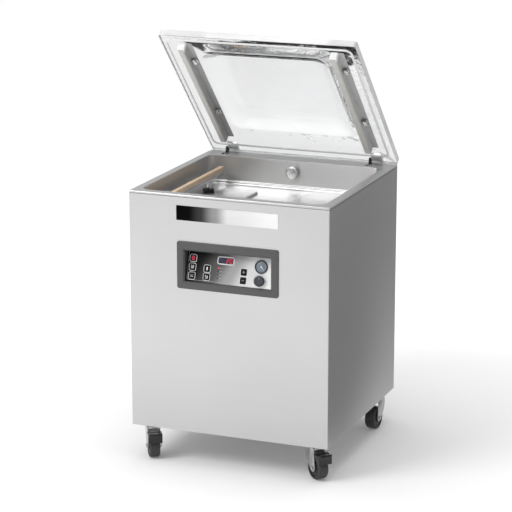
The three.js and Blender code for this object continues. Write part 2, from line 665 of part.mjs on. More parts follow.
function casterFork(brake) {
  const crown = cylinder("z", 0, 0, CROWN.radius, CROWN.bottom, CROWN.top);
  const leg = points([26, CROWN.top], [31, 98], [30, 82], [22, 62], [8, 44], [-4, 31], [-14, 27], [-24, 31],
    [-27, 44], [-24, 70], [-21, CROWN.top]);
  const pieces = [
    crown,
    extrude("x", leg, LEG.inner, LEG.outer),
    extrude("x", leg, -LEG.outer, -LEG.inner),
    cylinder("x", -WHEEL.trail, AXLE_Z, WHEEL.bore - 0.4, -LEG.outer - 3, LEG.outer + 3, 16),
  ];
  if (brake) {
    const { y, z, radius } = PEDAL_PIVOT;
    pieces.push(cylinder("x", y, z, radius, -LEG.outer, LEG.outer, 12));
  }
  return join(...pieces);
}

function casterWheel() {
  const { radius, halfWidth, sides, trail, bore } = WHEEL;
  const shoulder = halfWidth - 5;
  const profile = [[bore, -halfWidth], [radius - 4, -halfWidth], [radius, -shoulder], [radius, shoulder],
    [radius - 4, halfWidth], [bore, halfWidth], [bore, -halfWidth]];
  return turned(profile, sides, true).translate([0, -trail, AXLE_Z]);
}

function brakePedal() {
  const wide = points([-27, 85], [-35, 84], [-51, 74], [-58, 60], [-62, 62], [-62, 78], [-68, 91],
    [-65, 96], [-51, 92.5], [-35, 93], [-27, 93]);
  const narrow = points([12, 81.5], [-4, 83.5], [-20, 85.5], [-28, 85], [-28, 93], [-20, 92.5], [-4, 92],
    [12, 91]);
  const { y, z, radius } = PEDAL_PIVOT;
  return cut(
    join(extrude("x", wide, -24, 24), extrude("x", narrow, -18.3, 18.3)),
    cylinder("x", y, z, radius + 0.4, -19, 19, 12),
  );
}

for (const [name, { x, y, swivel, brake }] of Object.entries(CASTERS)) {
  const mounting = new THREE.Group();
  mounting.position.set(x, y, 0);
  machine.add(mounting);
  add(mounting, `caster_plate_${name}`, "zinc", casterPlate());
  const swivelling = new THREE.Group();
  swivelling.rotation.z = THREE.MathUtils.degToRad(swivel);
  mounting.add(swivelling);
  add(swivelling, `caster_fork_${name}`, "zinc", casterFork(brake));
  add(swivelling, `caster_wheel_${name}`, "rubber", casterWheel());
  if (brake) {
    add(swivelling, `brake_pedal_${name}`, "blackPlastic", brakePedal());
  }
}

const middle = new THREE.Box3().setFromObject(machine, true).getCenter(new THREE.Vector3());
machine.position.set(-middle.x, -middle.y, 0);

export default machine;
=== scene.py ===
import json
import math

import bmesh
import bpy
from mathutils import Matrix, Vector


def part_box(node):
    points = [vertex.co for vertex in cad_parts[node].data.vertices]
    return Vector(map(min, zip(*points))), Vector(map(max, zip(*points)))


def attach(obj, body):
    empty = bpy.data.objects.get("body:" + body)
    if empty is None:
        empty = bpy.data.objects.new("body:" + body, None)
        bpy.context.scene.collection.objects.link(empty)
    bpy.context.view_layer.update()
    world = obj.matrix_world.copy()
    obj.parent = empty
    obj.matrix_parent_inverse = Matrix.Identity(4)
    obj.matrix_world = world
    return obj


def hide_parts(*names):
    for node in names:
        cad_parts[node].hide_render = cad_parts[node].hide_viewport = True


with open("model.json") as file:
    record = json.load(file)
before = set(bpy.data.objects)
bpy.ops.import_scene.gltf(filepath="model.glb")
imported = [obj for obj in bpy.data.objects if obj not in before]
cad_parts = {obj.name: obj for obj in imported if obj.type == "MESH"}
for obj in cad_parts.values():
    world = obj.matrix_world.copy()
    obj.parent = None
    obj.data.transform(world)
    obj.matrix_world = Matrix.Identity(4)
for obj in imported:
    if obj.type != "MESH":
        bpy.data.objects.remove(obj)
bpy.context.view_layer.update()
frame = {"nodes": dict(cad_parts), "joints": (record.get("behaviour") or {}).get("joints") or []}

# ---- Camera, studio light and floor ----
# The machine stands on a plain pale floor in soft, even light that comes mostly from the front left.
# The floor glows more with distance, so that it ends in white. A grey card that only gloss can see darkens
# the reflection in the right-hand side.
MM = 0.001
wrap_low, wrap_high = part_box("housing_wrap")
MIDDLE = (wrap_low.x + wrap_high.x) / 2
FRONT = wrap_low.y
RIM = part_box("vacuum_chamber")[1].z


def spot(x, y, z):
    """A place counted in millimetres from the middle of the cabinet, its front face and the floor."""
    return Vector((MIDDLE + x * MM, FRONT + y * MM, z * MM))


def clear():
    bpy.ops.object.select_all(action="DESELECT")


def set_inputs(node, **values):
    """Sets a node's inputs by name, with an underscore for each space."""
    for name, value in values.items():
        node.inputs[name.replace("_", " ")].default_value = value


lens_angle, lens_height = math.radians(21.556), math.radians(14.641)
camera_data = bpy.data.cameras.new("studio_camera")
camera_data.lens, camera_data.sensor_width = 151.14, 36
camera_data.clip_end = 40
camera = bpy.data.objects.new("studio_camera", camera_data)
bpy.context.scene.collection.objects.link(camera)
camera.location = spot(2567.2, -6246.7, 2501.9)
looking = Vector((
    -math.sin(lens_angle) * math.cos(lens_height),
    math.cos(lens_angle) * math.cos(lens_height),
    -math.sin(lens_height),
))
camera.rotation_euler = looking.to_track_quat("-Z", "Y").to_euler()
bpy.context.scene.camera = camera
bpy.context.scene.view_settings.view_transform = "Standard"

world = bpy.data.worlds.new("studio")
bpy.context.scene.world = world
world.use_nodes = True
tree = world.node_tree
tree.nodes.clear()
sky = tree.nodes.new("ShaderNodeOutputWorld")
seen = tree.nodes.new("ShaderNodeBackground")
set_inputs(seen, Color=(1, 1, 1, 1), Strength=1.05)
around = tree.nodes.new("ShaderNodeBackground")
set_inputs(around, Strength=0.66)
direction = tree.nodes.new("ShaderNodeTexCoord")
parts = tree.nodes.new("ShaderNodeSeparateXYZ")
slope = tree.nodes.new("ShaderNodeMapRange")
set_inputs(slope, From_Min=-1, From_Max=1, To_Min=1.15, To_Max=0.45)
either = tree.nodes.new("ShaderNodeMixShader")
ray = tree.nodes.new("ShaderNodeLightPath")
tree.links.new(direction.outputs["Generated"], parts.inputs[0])
tree.links.new(parts.outputs["X"], slope.inputs["Value"])
tree.links.new(slope.outputs[0], around.inputs["Color"])
tree.links.new(ray.outputs["Is Camera Ray"], either.inputs[0])
tree.links.new(around.outputs[0], either.inputs[1])
tree.links.new(seen.outputs[0], either.inputs[2])
tree.links.new(either.outputs[0], sky.inputs["Surface"])


def area_light(name, place, target, size, power):
    lamp = bpy.data.lights.new(name, "AREA")
    lamp.shape, lamp.size, lamp.energy = "DISK", size, power
    holder = bpy.data.objects.new(name, lamp)
    bpy.context.scene.collection.objects.link(holder)
    holder.location = place
    holder.rotation_euler = (target - place).to_track_quat("-Z", "Y").to_euler()


area_light("key_light", spot(-1900, -2300, 3200), spot(0, 300, 600), 2.2, 75)
area_light("top_light", spot(300, 600, 3600), spot(0, 350, 900), 2.6, 42)


def plain(name, colour, roughness):
    material = bpy.data.materials.new(name)
    material.use_nodes = True
    shader = material.node_tree.nodes["Principled BSDF"]
    set_inputs(shader, Base_Color=(*colour, 1), Roughness=roughness, Specular_IOR_Level=0.1)
    return material


clear()
bpy.ops.mesh.primitive_plane_add(size=60, location=(0, 0, -0.0006))
floor = bpy.context.object
floor.name = "studio_floor"
paper = plain("floor_paper", (0.93, 0.93, 0.93), 0.9)
paper_tree = paper.node_tree
where = paper_tree.nodes.new("ShaderNodeTexCoord")
distance = paper_tree.nodes.new("ShaderNodeVectorMath")
distance.operation = "LENGTH"
fade = paper_tree.nodes.new("ShaderNodeMapRange")
fade.interpolation_type = "SMOOTHSTEP"
set_inputs(fade, From_Min=0.35, From_Max=2.6, To_Min=0.1, To_Max=0.5)
paper_tree.links.new(where.outputs["Object"], distance.inputs[0])
paper_tree.links.new(distance.outputs["Value"], fade.inputs["Value"])
paper_shader = paper_tree.nodes["Principled BSDF"]
set_inputs(paper_shader, Emission_Color=(1, 1, 1, 1))
paper_tree.links.new(fade.outputs[0], paper_shader.inputs["Emission Strength"])
floor.data.materials.append(paper)
bpy.ops.mesh.primitive_plane_add(size=1, location=spot(2600, 4300, 6))
card = bpy.context.object
card.name = "grey_card"
card.scale = (4.2, 8, 1)
card.visible_camera = False
card.visible_diffuse = False
card.visible_shadow = False
card.visible_transmission = False
card.data.materials.append(plain("card_paper", (0.3, 0.3, 0.3), 0.9))

# ---- Finishes ----
# Every surface has a fine grain and soft cloudy patches; one shader group makes both for all the finishes,
# and each finish gives it its own colours, gloss and grain size.
surface = bpy.data.node_groups.new("worked_surface", "ShaderNodeTree")
for label, kind, value in (
    ("Light", "NodeSocketColor", (0.8, 0.8, 0.8, 1)),
    ("Dark", "NodeSocketColor", (0.6, 0.6, 0.6, 1)),
    ("Smooth", "NodeSocketFloat", 0.3),
    ("Rough", "NodeSocketFloat", 0.4),
    ("Grain", "NodeSocketVector", (300, 300, 300)),
    ("Patches", "NodeSocketFloat", 6.0),
    ("Relief", "NodeSocketFloat", 0.00002),
):
    socket = surface.interface.new_socket(name=label, in_out="INPUT", socket_type=kind)
    socket.default_value = value
for label, kind in (
    ("Colour", "NodeSocketColor"),
    ("Roughness", "NodeSocketFloat"),
    ("Normal", "NodeSocketVector"),
):
    surface.interface.new_socket(name=label, in_out="OUTPUT", socket_type=kind)
nodes, links = surface.nodes, surface.links
given = nodes.new("NodeGroupInput")
made = nodes.new("NodeGroupOutput")
place = nodes.new("ShaderNodeTexCoord")
stretch = nodes.new("ShaderNodeVectorMath")
stretch.operation = "MULTIPLY"
grain = nodes.new("ShaderNodeTexNoise")
set_inputs(grain, Scale=1, Detail=3)
cloud = nodes.new("ShaderNodeTexNoise")
set_inputs(cloud, Detail=2)
blend = nodes.new("ShaderNodeMath")
blend.operation = "ADD"
half = nodes.new("ShaderNodeMath")
half.operation = "MULTIPLY"
half.inputs[1].default_value = 0.5
tint = nodes.new("ShaderNodeMix")
tint.data_type = "RGBA"
gloss = nodes.new("ShaderNodeMix")
relief = nodes.new("ShaderNodeBump")
links.new(place.outputs["Object"], stretch.inputs[0])
links.new(given.outputs["Grain"], stretch.inputs[1])
links.new(stretch.outputs[0], grain.inputs["Vector"])
links.new(place.outputs["Object"], cloud.inputs["Vector"])
links.new(given.outputs["Patches"], cloud.inputs["Scale"])
links.new(grain.outputs[0], blend.inputs[0])
links.new(cloud.outputs[0], blend.inputs[1])
links.new(blend.outputs[0], half.inputs[0])
links.new(half.outputs[0], tint.inputs[0])
links.new(given.outputs["Light"], tint.inputs[6])
links.new(given.outputs["Dark"], tint.inputs[7])
links.new(half.outputs[0], gloss.inputs[0])
links.new(given.outputs["Smooth"], gloss.inputs[2])
links.new(given.outputs["Rough"], gloss.inputs[3])
links.new(given.outputs["Relief"], relief.inputs["Distance"])
links.new(grain.outputs[0], relief.inputs["Height"])
links.new(tint.outputs[2], made.inputs["Colour"])
links.new(gloss.outputs[0], made.inputs["Roughness"])
links.new(relief.outputs["Normal"], made.inputs["Normal"])


def finish(name, light, dark, smooth, rough, grain=(300, 300, 300), patches=6, relief=0.02, **sockets):
    """A material with the shared grain. Relief is in millimetres; other sockets go to the shader by name."""
    material = bpy.data.materials.new(name)
    material.use_nodes = True
    tree = material.node_tree
    shader = tree.nodes["Principled BSDF"]
    worked = tree.nodes.new("ShaderNodeGroup")
    worked.node_tree = surface
    worked.name = "worked_surface"
    set_inputs(worked, Light=(*light, 1), Dark=(*dark, 1), Smooth=smooth, Rough=rough)
    set_inputs(worked, Grain=grain, Patches=patches, Relief=relief * MM)
    tree.links.new(worked.outputs["Colour"], shader.inputs["Base Color"])
    tree.links.new(worked.outputs["Roughness"], shader.inputs["Roughness"])
    tree.links.new(worked.outputs["Normal"], shader.inputs["Normal"])
    set_inputs(shader, **sockets)
    return material


def grey(level):
    return (level, level, level)


# ---- Cabinet ----
# One folded sheet of satin stainless makes the front and both sides, with small bend radii at the front
# and return flanges at the rear, where the cover is screwed on. Its walls are given the sheet's thickness.
SHEET = 1.5 * MM
BEND = 4 * MM
REAR_FLANGE = 20 * MM
PANEL_HOLE = 156 * MM
steel = finish("brushed_stainless", grey(0.59), grey(0.53), 0.34, 0.42, (4, 4, 900), 3, 0.01, Metallic=1.0)


def only(piece):
    clear()
    piece.select_set(True)
    bpy.context.view_layer.objects.active = piece


def block(name, low, high):
    """A cube primitive brought to its size and place, for shaping."""
    clear()
    bpy.ops.mesh.primitive_cube_add(size=1, location=(low + high) / 2, scale=high - low)
    piece = bpy.context.object
    piece.name = name
    bpy.ops.object.transform_apply(location=True, rotation=True, scale=True)
    return piece


def pick(piece, kind, test):
    """Goes into edit mode with only those faces or edges selected for which test is true."""
    only(piece)
    bpy.ops.object.mode_set(mode="EDIT")
    bpy.ops.mesh.select_mode(type=kind)
    bpy.ops.mesh.select_all(action="DESELECT")
    mesh = bmesh.from_edit_mesh(piece.data)
    for item in mesh.faces if kind == "FACE" else mesh.edges:
        if test(item):
            item.select_set(True)
    mesh.select_flush_mode()
    bmesh.update_edit_mesh(piece.data)


def done():
    bpy.ops.object.mode_set(mode="OBJECT")


def along(axis):
    """A test for edges that run along an axis, 0 to 2."""
    def test(edge):
        run = edge.verts[1].co - edge.verts[0].co
        return run.length > 1e-7 and abs(run[axis]) / run.length > 0.999
    return test


def level(axis, value, tolerance=1e-5):
    """A test for faces or edges that lie wholly at a value of an axis."""
    return lambda item: all(abs(v.co[axis] - value) < tolerance for v in item.verts)


def round_edges(piece, test, radius, segments=4):
    pick(piece, "EDGE", test)
    bpy.ops.mesh.bevel(offset=radius, segments=segments, affect="EDGES")
    done()


def remove_faces(piece, test):
    pick(piece, "FACE", test)
    bpy.ops.mesh.delete(type="FACE")
    done()


def apply_modifier(piece, kind, **settings):
    only(piece)
    modifier = piece.modifiers.new("step", kind)
    for key, value in settings.items():
        setattr(modifier, key, value)
    bpy.ops.object.modifier_apply(modifier="step")


def combine(piece, tool, operation="DIFFERENCE"):
    """Cuts a tool out of a piece, or joins it on, and throws the tool away."""
    apply_modifier(piece, "BOOLEAN", object=tool, operation=operation, solver="EXACT")
    bpy.data.objects.remove(tool)


def soften(piece, width, segments=2, angle=35):
    apply_modifier(
        piece, "BEVEL", width=width, segments=segments, limit_method="ANGLE",
        angle_limit=math.radians(angle), miter_outer="MITER_ARC",
    )


def complete(piece, material, body="root", stands_for=(), angle=30):
    """Smooths a finished piece, gives it its material and puts it on its body."""
    only(piece)
    bpy.ops.object.transform_apply(location=True, rotation=True, scale=True)
    bpy.ops.object.shade_smooth_by_angle(angle=math.radians(angle))
    if material is not None:
        piece.data.materials.clear()
        piece.data.materials.append(material)
    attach(piece, body)
    if stands_for:
        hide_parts(*stands_for)
    return piece


wrap = block("cabinet_wrap", wrap_low, wrap_high)
remove_faces(wrap, lambda face: abs(face.normal.z) > 0.9 or face.normal.y > 0.9)
round_edges(wrap, lambda e: along(2)(e) and level(1, wrap_low.y)(e), BEND, 6)
for side in (-1, 1):
    edge_x = wrap_low.x if side < 0 else wrap_high.x
    pick(wrap, "EDGE", lambda e: along(2)(e) and level(1, wrap_high.y)(e) and level(0, edge_x)(e))
    bpy.ops.mesh.extrude_region_move(TRANSFORM_OT_translate={"value": (-side * REAR_FLANGE, 0, 0)})
    done()


def rear_corner(edge):
    """A folded corner where a side meets its return flange."""
    reach = abs(edge.verts[0].co.x - MIDDLE)
    return along(2)(edge) and level(1, wrap_high.y)(edge) and abs(reach - (wrap_high.x - MIDDLE)) < 1e-5


round_edges(wrap, rear_corner, 2 * MM, 3)
apply_modifier(wrap, "SOLIDIFY", thickness=SHEET, offset=-1)
panel_low, panel_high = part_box("panel_fascia")
combine(wrap, block(
    "opening",
    Vector((MIDDLE - PANEL_HOLE, FRONT - 0.01, panel_low.z - 3 * MM)),
    Vector((MIDDLE + PANEL_HOLE, FRONT + 0.01, panel_high.z + 4 * MM)),
))
complete(wrap, steel, stands_for=["housing_wrap"])

# ---- Rear cover and base ----
# A flat stainless cover with two banks of vent slots closes the back; pan-head screws hold it to the flanges.
# The base is a galvanised tray that carries the machinery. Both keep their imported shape.
galvanised = finish("galvanised", grey(0.42), grey(0.3), 0.42, 0.6, (60, 60, 60), 40, 0.02, Metallic=0.9)
screw_steel = finish(
    "screw_steel", grey(0.62), grey(0.5), 0.22, 0.32, (900, 900, 900), 60, 0.01, Metallic=1.0)


def carry(name, material):
    """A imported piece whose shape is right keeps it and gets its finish."""
    data = frame["nodes"][name].data
    data.materials.clear()
    data.materials.append(material)


carry("rear_cover", steel)
carry("base_pan", galvanised)


def screw_head(name, place, axis, radius, height):
    """A pan head with a cross slot, its seat at the place and its crown along the axis."""
    clear()
    bpy.ops.mesh.primitive_cylinder_add(vertices=20, radius=radius, depth=height, location=(0, 0, height / 2))
    head = bpy.context.object
    head.name = name
    bpy.ops.object.transform_apply(location=True)
    round_edges(head, lambda e: level(2, height)(e), height * 0.45, 3)
    length, width = radius * 0.6, radius * 0.12
    for reach_x, reach_y in ((length, width), (width, length)):
        combine(head, block("slot", Vector((-reach_x, -reach_y, height * 0.5)),
                            Vector((reach_x, reach_y, height * 1.5))))
    turn = Vector((0, 0, 1)).rotation_difference(axis).to_matrix().to_4x4()
    head.data.transform(Matrix.Translation(place) @ turn)
    return head


def joined(name, pieces):
    only(pieces[0])
    for piece in pieces[1:]:
        piece.select_set(True)
    bpy.ops.object.join()
    bpy.context.object.name = name
    return bpy.context.object


rear_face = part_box("rear_cover")[1].y
backwards = Vector((0, 1, 0))
heads = []
for x in (-338, 338):
    for z in (150, 410, 660, 905):
        seat = Vector((MIDDLE + x * MM, rear_face, z * MM))
        heads.append(screw_head("head", seat, backwards, 3.6 * MM, 2 * MM))
complete(joined("rear_cover_screws", heads), screw_steel)

# ---- Vacuum chamber ----
# The tub is deep drawn: a rounded box with a ledge just above its floor, raised pads on the floor, and a wide
# flange with a short lip that is the cabinet's top. It is cut through for the hinge arms and the lift rods.
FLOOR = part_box("vacuum_chamber")[0].z + 2 * MM
WALL = 2 * MM
LEDGE = 11 * MM
PAD_HEIGHT = 9
PADS = ((-228, -92, 110, 530), (66, 236, 110, 578))
CLAMP_X, ARM_OFFSET = 268, 14
SEAL_X, ROD_ROWS = 264, (180, 470)
tub_low = spot(-320, 32, 0)
tub_high = spot(320, 620, 0)
tub_low.z, tub_high.z = FLOOR + LEDGE, RIM + 2 * MM
chamber_steel = finish(
    "drawn_stainless", grey(0.66), grey(0.6), 0.3, 0.4, (350, 350, 350), 5, 0.012, Metallic=1.0)

chamber = block(
    "vacuum_chamber_tub",
    Vector((MIDDLE - 350 * MM, FRONT, RIM - 7 * MM)),
    Vector((MIDDLE + 350 * MM, FRONT + 700 * MM, RIM)),
)
round_edges(chamber, along(2), 4 * MM, 4)
round_edges(chamber, level(2, RIM), 2.5 * MM, 4)
combine(chamber, block(
    "hollow",
    Vector((MIDDLE - 348.5 * MM, FRONT + SHEET, RIM - 9 * MM)),
    Vector((MIDDLE + 348.5 * MM, FRONT + 698.5 * MM, RIM - WALL)),
))
around_wall = Vector((WALL, WALL, 0))
shell_low, shell_high = tub_low - around_wall, tub_high + around_wall
shell_low.z, shell_high.z = FLOOR - WALL + 0.1 * MM, RIM - WALL / 2
shell = block("shell", shell_low, shell_high)
round_edges(shell, along(2), 32 * MM, 10)
round_edges(shell, level(2, shell_low.z), 12 * MM, 4)
combine(chamber, shell, "UNION")
cavity = block("cavity", tub_low, tub_high)
round_edges(cavity, along(2), 30 * MM, 10)
pick(cavity, "FACE", lambda face: face.normal.z < -0.9)
bpy.ops.mesh.inset(thickness=8 * MM)
bpy.ops.mesh.extrude_region_move(TRANSFORM_OT_translate={"value": (0, 0, -LEDGE)})
done()
round_edges(cavity, level(2, FLOOR), 7 * MM, 5)
soften(cavity, 2.5 * MM, 3, 60)
combine(chamber, cavity)


def lip_of_the_tub(edge):
    """The rim's inner edge, where the tub's walls turn down."""
    return level(2, RIM)(edge) and all(
        abs(v.co.x - MIDDLE) < 322 * MM and FRONT + 30 * MM < v.co.y < FRONT + 622 * MM for v in edge.verts)


round_edges(chamber, lip_of_the_tub, 2.5 * MM, 4)
for left, right, near, far in PADS:
    pad_low = Vector((MIDDLE + left * MM, FRONT + near * MM, FLOOR - 1 * MM))
    pad_high = Vector((MIDDLE + right * MM, FRONT + far * MM, FLOOR + PAD_HEIGHT * MM))
    pad = block("pad", pad_low, pad_high)
    round_edges(pad, along(2), 34 * MM, 8)
    round_edges(pad, level(2, FLOOR + PAD_HEIGHT * MM), 8 * MM, 6)
    combine(chamber, pad, "UNION")
for side in (-1, 1):
    x = side * CLAMP_X - ARM_OFFSET
    arm_slot = block("arm_slot", spot(x - 5.5, 640, 915), spot(x + 5.5, 697, 935))
    round_edges(arm_slot, along(2), 4 * MM, 4)
    combine(chamber, arm_slot)
    for y in ROD_ROWS:
        clear()
        bpy.ops.mesh.primitive_cylinder_add(
            vertices=48, radius=20.6 * MM, depth=30 * MM, location=spot(side * SEAL_X, y, FLOOR / MM))
        combine(chamber, bpy.context.object)
complete(chamber, chamber_steel, stands_for=["vacuum_chamber"])

# ---- Cap on the chamber's back wall ----
# A turned stainless cap covers the suction port: a round disc with a soft rim and a shallow groove round its
# raised middle. It is fixed to the tub's back wall.
port_low, port_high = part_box("chamber_port_cap")
clear()
bpy.ops.mesh.primitive_cylinder_add(
    vertices=64, radius=(port_high.x - port_low.x) / 2, depth=port_high.y - port_low.y,
    location=(port_low + port_high) / 2, rotation=(math.pi / 2, 0, 0))
cap = bpy.context.object
cap.name = "suction_port_cap"
bpy.ops.object.transform_apply(rotation=True)
pick(cap, "FACE", lambda face: face.normal.y < -0.9)
bpy.ops.mesh.inset(thickness=3.5 * MM, depth=-1.2 * MM)
bpy.ops.mesh.inset(thickness=1 * MM, depth=1 * MM)
done()
only(cap)
bpy.ops.object.transform_apply(location=True)
soften(cap, 1.2 * MM, 4)
complete(cap, screw_steel, stands_for=["chamber_port_cap"])

# ---- Name plate ----
# A thin plate with small rounded corners is stuck on the front under the rim. Its printed foil is left blank
# and runs from black on the left to white on the right.
plate_low, plate_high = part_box("name_plate")


def ramp_finish(name, start, end, stops, roughness=0.3, tilt=0.0, grain=(3, 3, 500), **sockets):
    """Printed foil whose colour runs from start to end along X, with stops of (place, grey level)."""
    material = bpy.data.materials.new(name)
    material.use_nodes = True
    tree = material.node_tree
    shader = tree.nodes["Principled BSDF"]
    place = tree.nodes.new("ShaderNodeTexCoord")
    parts = tree.nodes.new("ShaderNodeSeparateXYZ")
    lean = tree.nodes.new("ShaderNodeMath")
    lean.operation = "MULTIPLY_ADD"
    lean.inputs[1].default_value = tilt
    spread = tree.nodes.new("ShaderNodeMapRange")
    set_inputs(spread, From_Min=start, From_Max=end)
    ramp = tree.nodes.new("ShaderNodeValToRGB")
    ramp.color_ramp.interpolation = "EASE"
    while len(ramp.color_ramp.elements) < len(stops):
        ramp.color_ramp.elements.new(0.5)
    for element, (where, tone) in zip(ramp.color_ramp.elements, stops):
        element.position = where
        element.color = (tone, tone, tone, 1)
    worked = tree.nodes.new("ShaderNodeGroup")
    worked.node_tree = surface
    set_inputs(worked, Light=(1, 1, 1, 1), Dark=(0.9, 0.9, 0.9, 1), Grain=grain, Relief=0.004 * MM)
    set_inputs(worked, Smooth=roughness, Rough=roughness + 0.06)
    tone = tree.nodes.new("ShaderNodeMix")
    tone.data_type = "RGBA"
    tone.blend_type = "MULTIPLY"
    tone.inputs[0].default_value = 1
    tree.links.new(place.outputs["Object"], parts.inputs[0])
    tree.links.new(parts.outputs["Z"], lean.inputs[0])
    tree.links.new(parts.outputs["X"], lean.inputs[2])
    tree.links.new(lean.outputs[0], spread.inputs["Value"])
    tree.links.new(spread.outputs[0], ramp.inputs[0])
    tree.links.new(ramp.outputs[0], tone.inputs[6])
    tree.links.new(worked.outputs["Colour"], tone.inputs[7])
    tree.links.new(tone.outputs[2], shader.inputs["Base Color"])
    tree.links.new(worked.outputs["Roughness"], shader.inputs["Roughness"])
    tree.links.new(worked.outputs["Normal"], shader.inputs["Normal"])
    set_inputs(shader, **sockets)
    return material


plate = block("front_plate", plate_low, plate_high)
round_edges(plate, along(1), 1.5 * MM, 4)
round_edges(plate, level(1, plate_low.y), 0.25 * MM, 2)
plate_print = ramp_finish(
    "plate_print", plate_low.x, plate_high.x,
    ((0, 0), (0.12, 0.001), (0.24, 0.04), (0.38, 0.3), (0.52, 0.75), (1, 0.93)), 0.4,
    Specular_IOR_Level=0.04)
complete(plate, plate_print, stands_for=["name_plate"])

# ---- Panel bezel ----
# A moulded grey plastic frame with rounded outer edges sits on the front of the cabinet. A flared opening
# leads into the tunnel that holds the panel.
bezel_low, bezel_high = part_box("panel_bezel")
GAP = 0.3 * MM
OPENING_LOW, OPENING_HIGH = spot(-152, 0, 638), spot(152, 0, 743)
bezel_grey = finish("bezel_plastic", grey(0.082), grey(0.062), 0.38, 0.5, (1400, 1400, 1400), 8, 0.03)
bezel = block("panel_frame", bezel_low, Vector((bezel_high.x, FRONT - GAP, bezel_high.z)))
round_edges(bezel, along(1), 8 * MM, 8)
round_edges(bezel, level(1, bezel_low.y), 2.2 * MM, 4)


def through_opening(name, margin, front, back):
    """A block over the opening and a margin round it, from front to back, in millimetres."""
    return block(name, OPENING_LOW + Vector((-margin, front, -margin)) * MM,
                 OPENING_HIGH + Vector((margin, back, margin)) * MM)


combine(bezel, through_opening("tunnel", 3, -2, 34), "UNION")
combine(bezel, through_opening("mouth", 0, -20, 40))
flare = through_opening("flare", 1, -5.2, -1)
pick(flare, "FACE", lambda face: face.normal.y < -0.9)
opening_middle = tuple((OPENING_LOW + OPENING_HIGH) / 2)
bpy.ops.transform.resize(value=(314 / 306, 1, 115 / 107), center_override=opening_middle)
done()
combine(bezel, flare)
complete(bezel, bezel_grey, stands_for=["panel_bezel"])

# ---- Control panel ----
# The fascia is a leaning plate under a printed foil that runs from black to white. The keys and the display
# have pale printed rims, and the keys press in through it. Everything is shaped flat and then leaned back.
LEAN = math.radians(16)
fascia_low, fascia_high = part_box("panel_fascia")
ACROSS = Vector((1, 0, 0))
UP = Vector((0, math.sin(LEAN), math.cos(LEAN)))
OUT = Vector((0, -math.cos(LEAN), math.sin(LEAN)))
panel_origin = (fascia_low + fascia_high) / 2 + OUT * MM
leaned = Matrix((ACROSS, UP, OUT)).transposed().to_4x4()
leaned.translation = panel_origin


def lean_back(piece):
    """Takes a piece from the panel's flat frame, in metres across, up and outwards, to its place."""
    piece.data.transform(leaned)
    return piece


def flat(name, u, v, half_width, half_height, low, high, corner=0.0, edge=0.0):
    """A rounded tile on the panel, in millimetres."""
    tile = block(name, Vector((u - half_width, v - half_height, low)) * MM,
                 Vector((u + half_width, v + half_height, high)) * MM)
    if corner:
        round_edges(tile, along(2), corner * MM, 6)
    if edge:
        round_edges(tile, level(2, high * MM), edge * MM, 3)
    return tile


def rim(name, u, v, half_width, half_height, width, corner):
    """A thin printed rim round an opening of the fascia."""
    ring = flat(name, u, v, half_width + width, half_height + width, 0.02, 0.3, corner + width)
    hole = flat("hole", u, v, half_width + 0.45, half_height + 0.45, -1, 2, corner)
    combine(ring, hole)
    return ring


PRINT_LEAN = -0.5
fascia_print = ramp_finish(
    "fascia_print", fascia_low.x, fascia_high.x,
    ((0, 0.002), (0.12, 0.006), (0.36, 0.1), (0.55, 0.36), (0.75, 0.7), (1, 0.93)), 0.36, PRINT_LEAN,
    Specular_IOR_Level=0.1)
print_spread = fascia_print.node_tree.nodes["Map Range"]
print_spread.inputs["From Min"].default_value += PRINT_LEAN * panel_origin.z
print_spread.inputs["From Max"].default_value += PRINT_LEAN * panel_origin.z
carry("panel_fascia", fascia_print)
print_white = finish("print_white", grey(0.78), grey(0.7), 0.35, 0.45, relief=0.003)
key_black = finish("key_black", grey(0.006), grey(0.01), 0.4, 0.5, relief=0.01, Specular_IOR_Level=0.15)
key_navy = finish("key_navy", (0.012, 0.016, 0.035), (0.02, 0.025, 0.05), 0.35, 0.45, relief=0.01,
                  Specular_IOR_Level=0.2)
display_navy = finish("display_window", (0.02, 0.026, 0.055), (0.03, 0.035, 0.07), 0.12, 0.2, relief=0.004)
lamp_red = finish("lamp_red", (0.8, 0.03, 0.05), (0.65, 0.02, 0.03), 0.25, 0.35, relief=0.002,
                  Emission_Color=(0.9, 0.03, 0.05, 1), Emission_Strength=0.55)
print_grey = finish("print_grey", grey(0.36), grey(0.3), 0.4, 0.5, relief=0.003)
dark_lamp = finish("dark_lamp", (0.015, 0.02, 0.05), (0.02, 0.03, 0.06), 0.15, 0.25, relief=0.003)

SEGMENTS = {"0": "abcdef", "2": "abged", "8": "abcdefg"}
BAR_PLACES = {
    "a": (0, 2, True),
    "b": (1, 1, False),
    "c": (1, -1, False),
    "d": (0, -2, True),
    "e": (-1, -1, False),
    "f": (-1, 1, False),
    "g": (0, 0, True),
}
DISPLAY = (-15, 24.4)


def digit(character, u, v, height, base, thickness):
    """The lit bars of one seven-segment figure."""
    half, quarter, width = height * 0.27, height / 4, height * 0.055
    bars = []
    for bar in SEGMENTS[character]:
        i, j, lying = BAR_PLACES[bar]
        size = (half - width * 0.4, width) if lying else (width, quarter - width * 0.4)
        bars.append(flat("bar", u + i * half, v + j * quarter, *size, base, base + thickness, width * 0.8))
    return bars


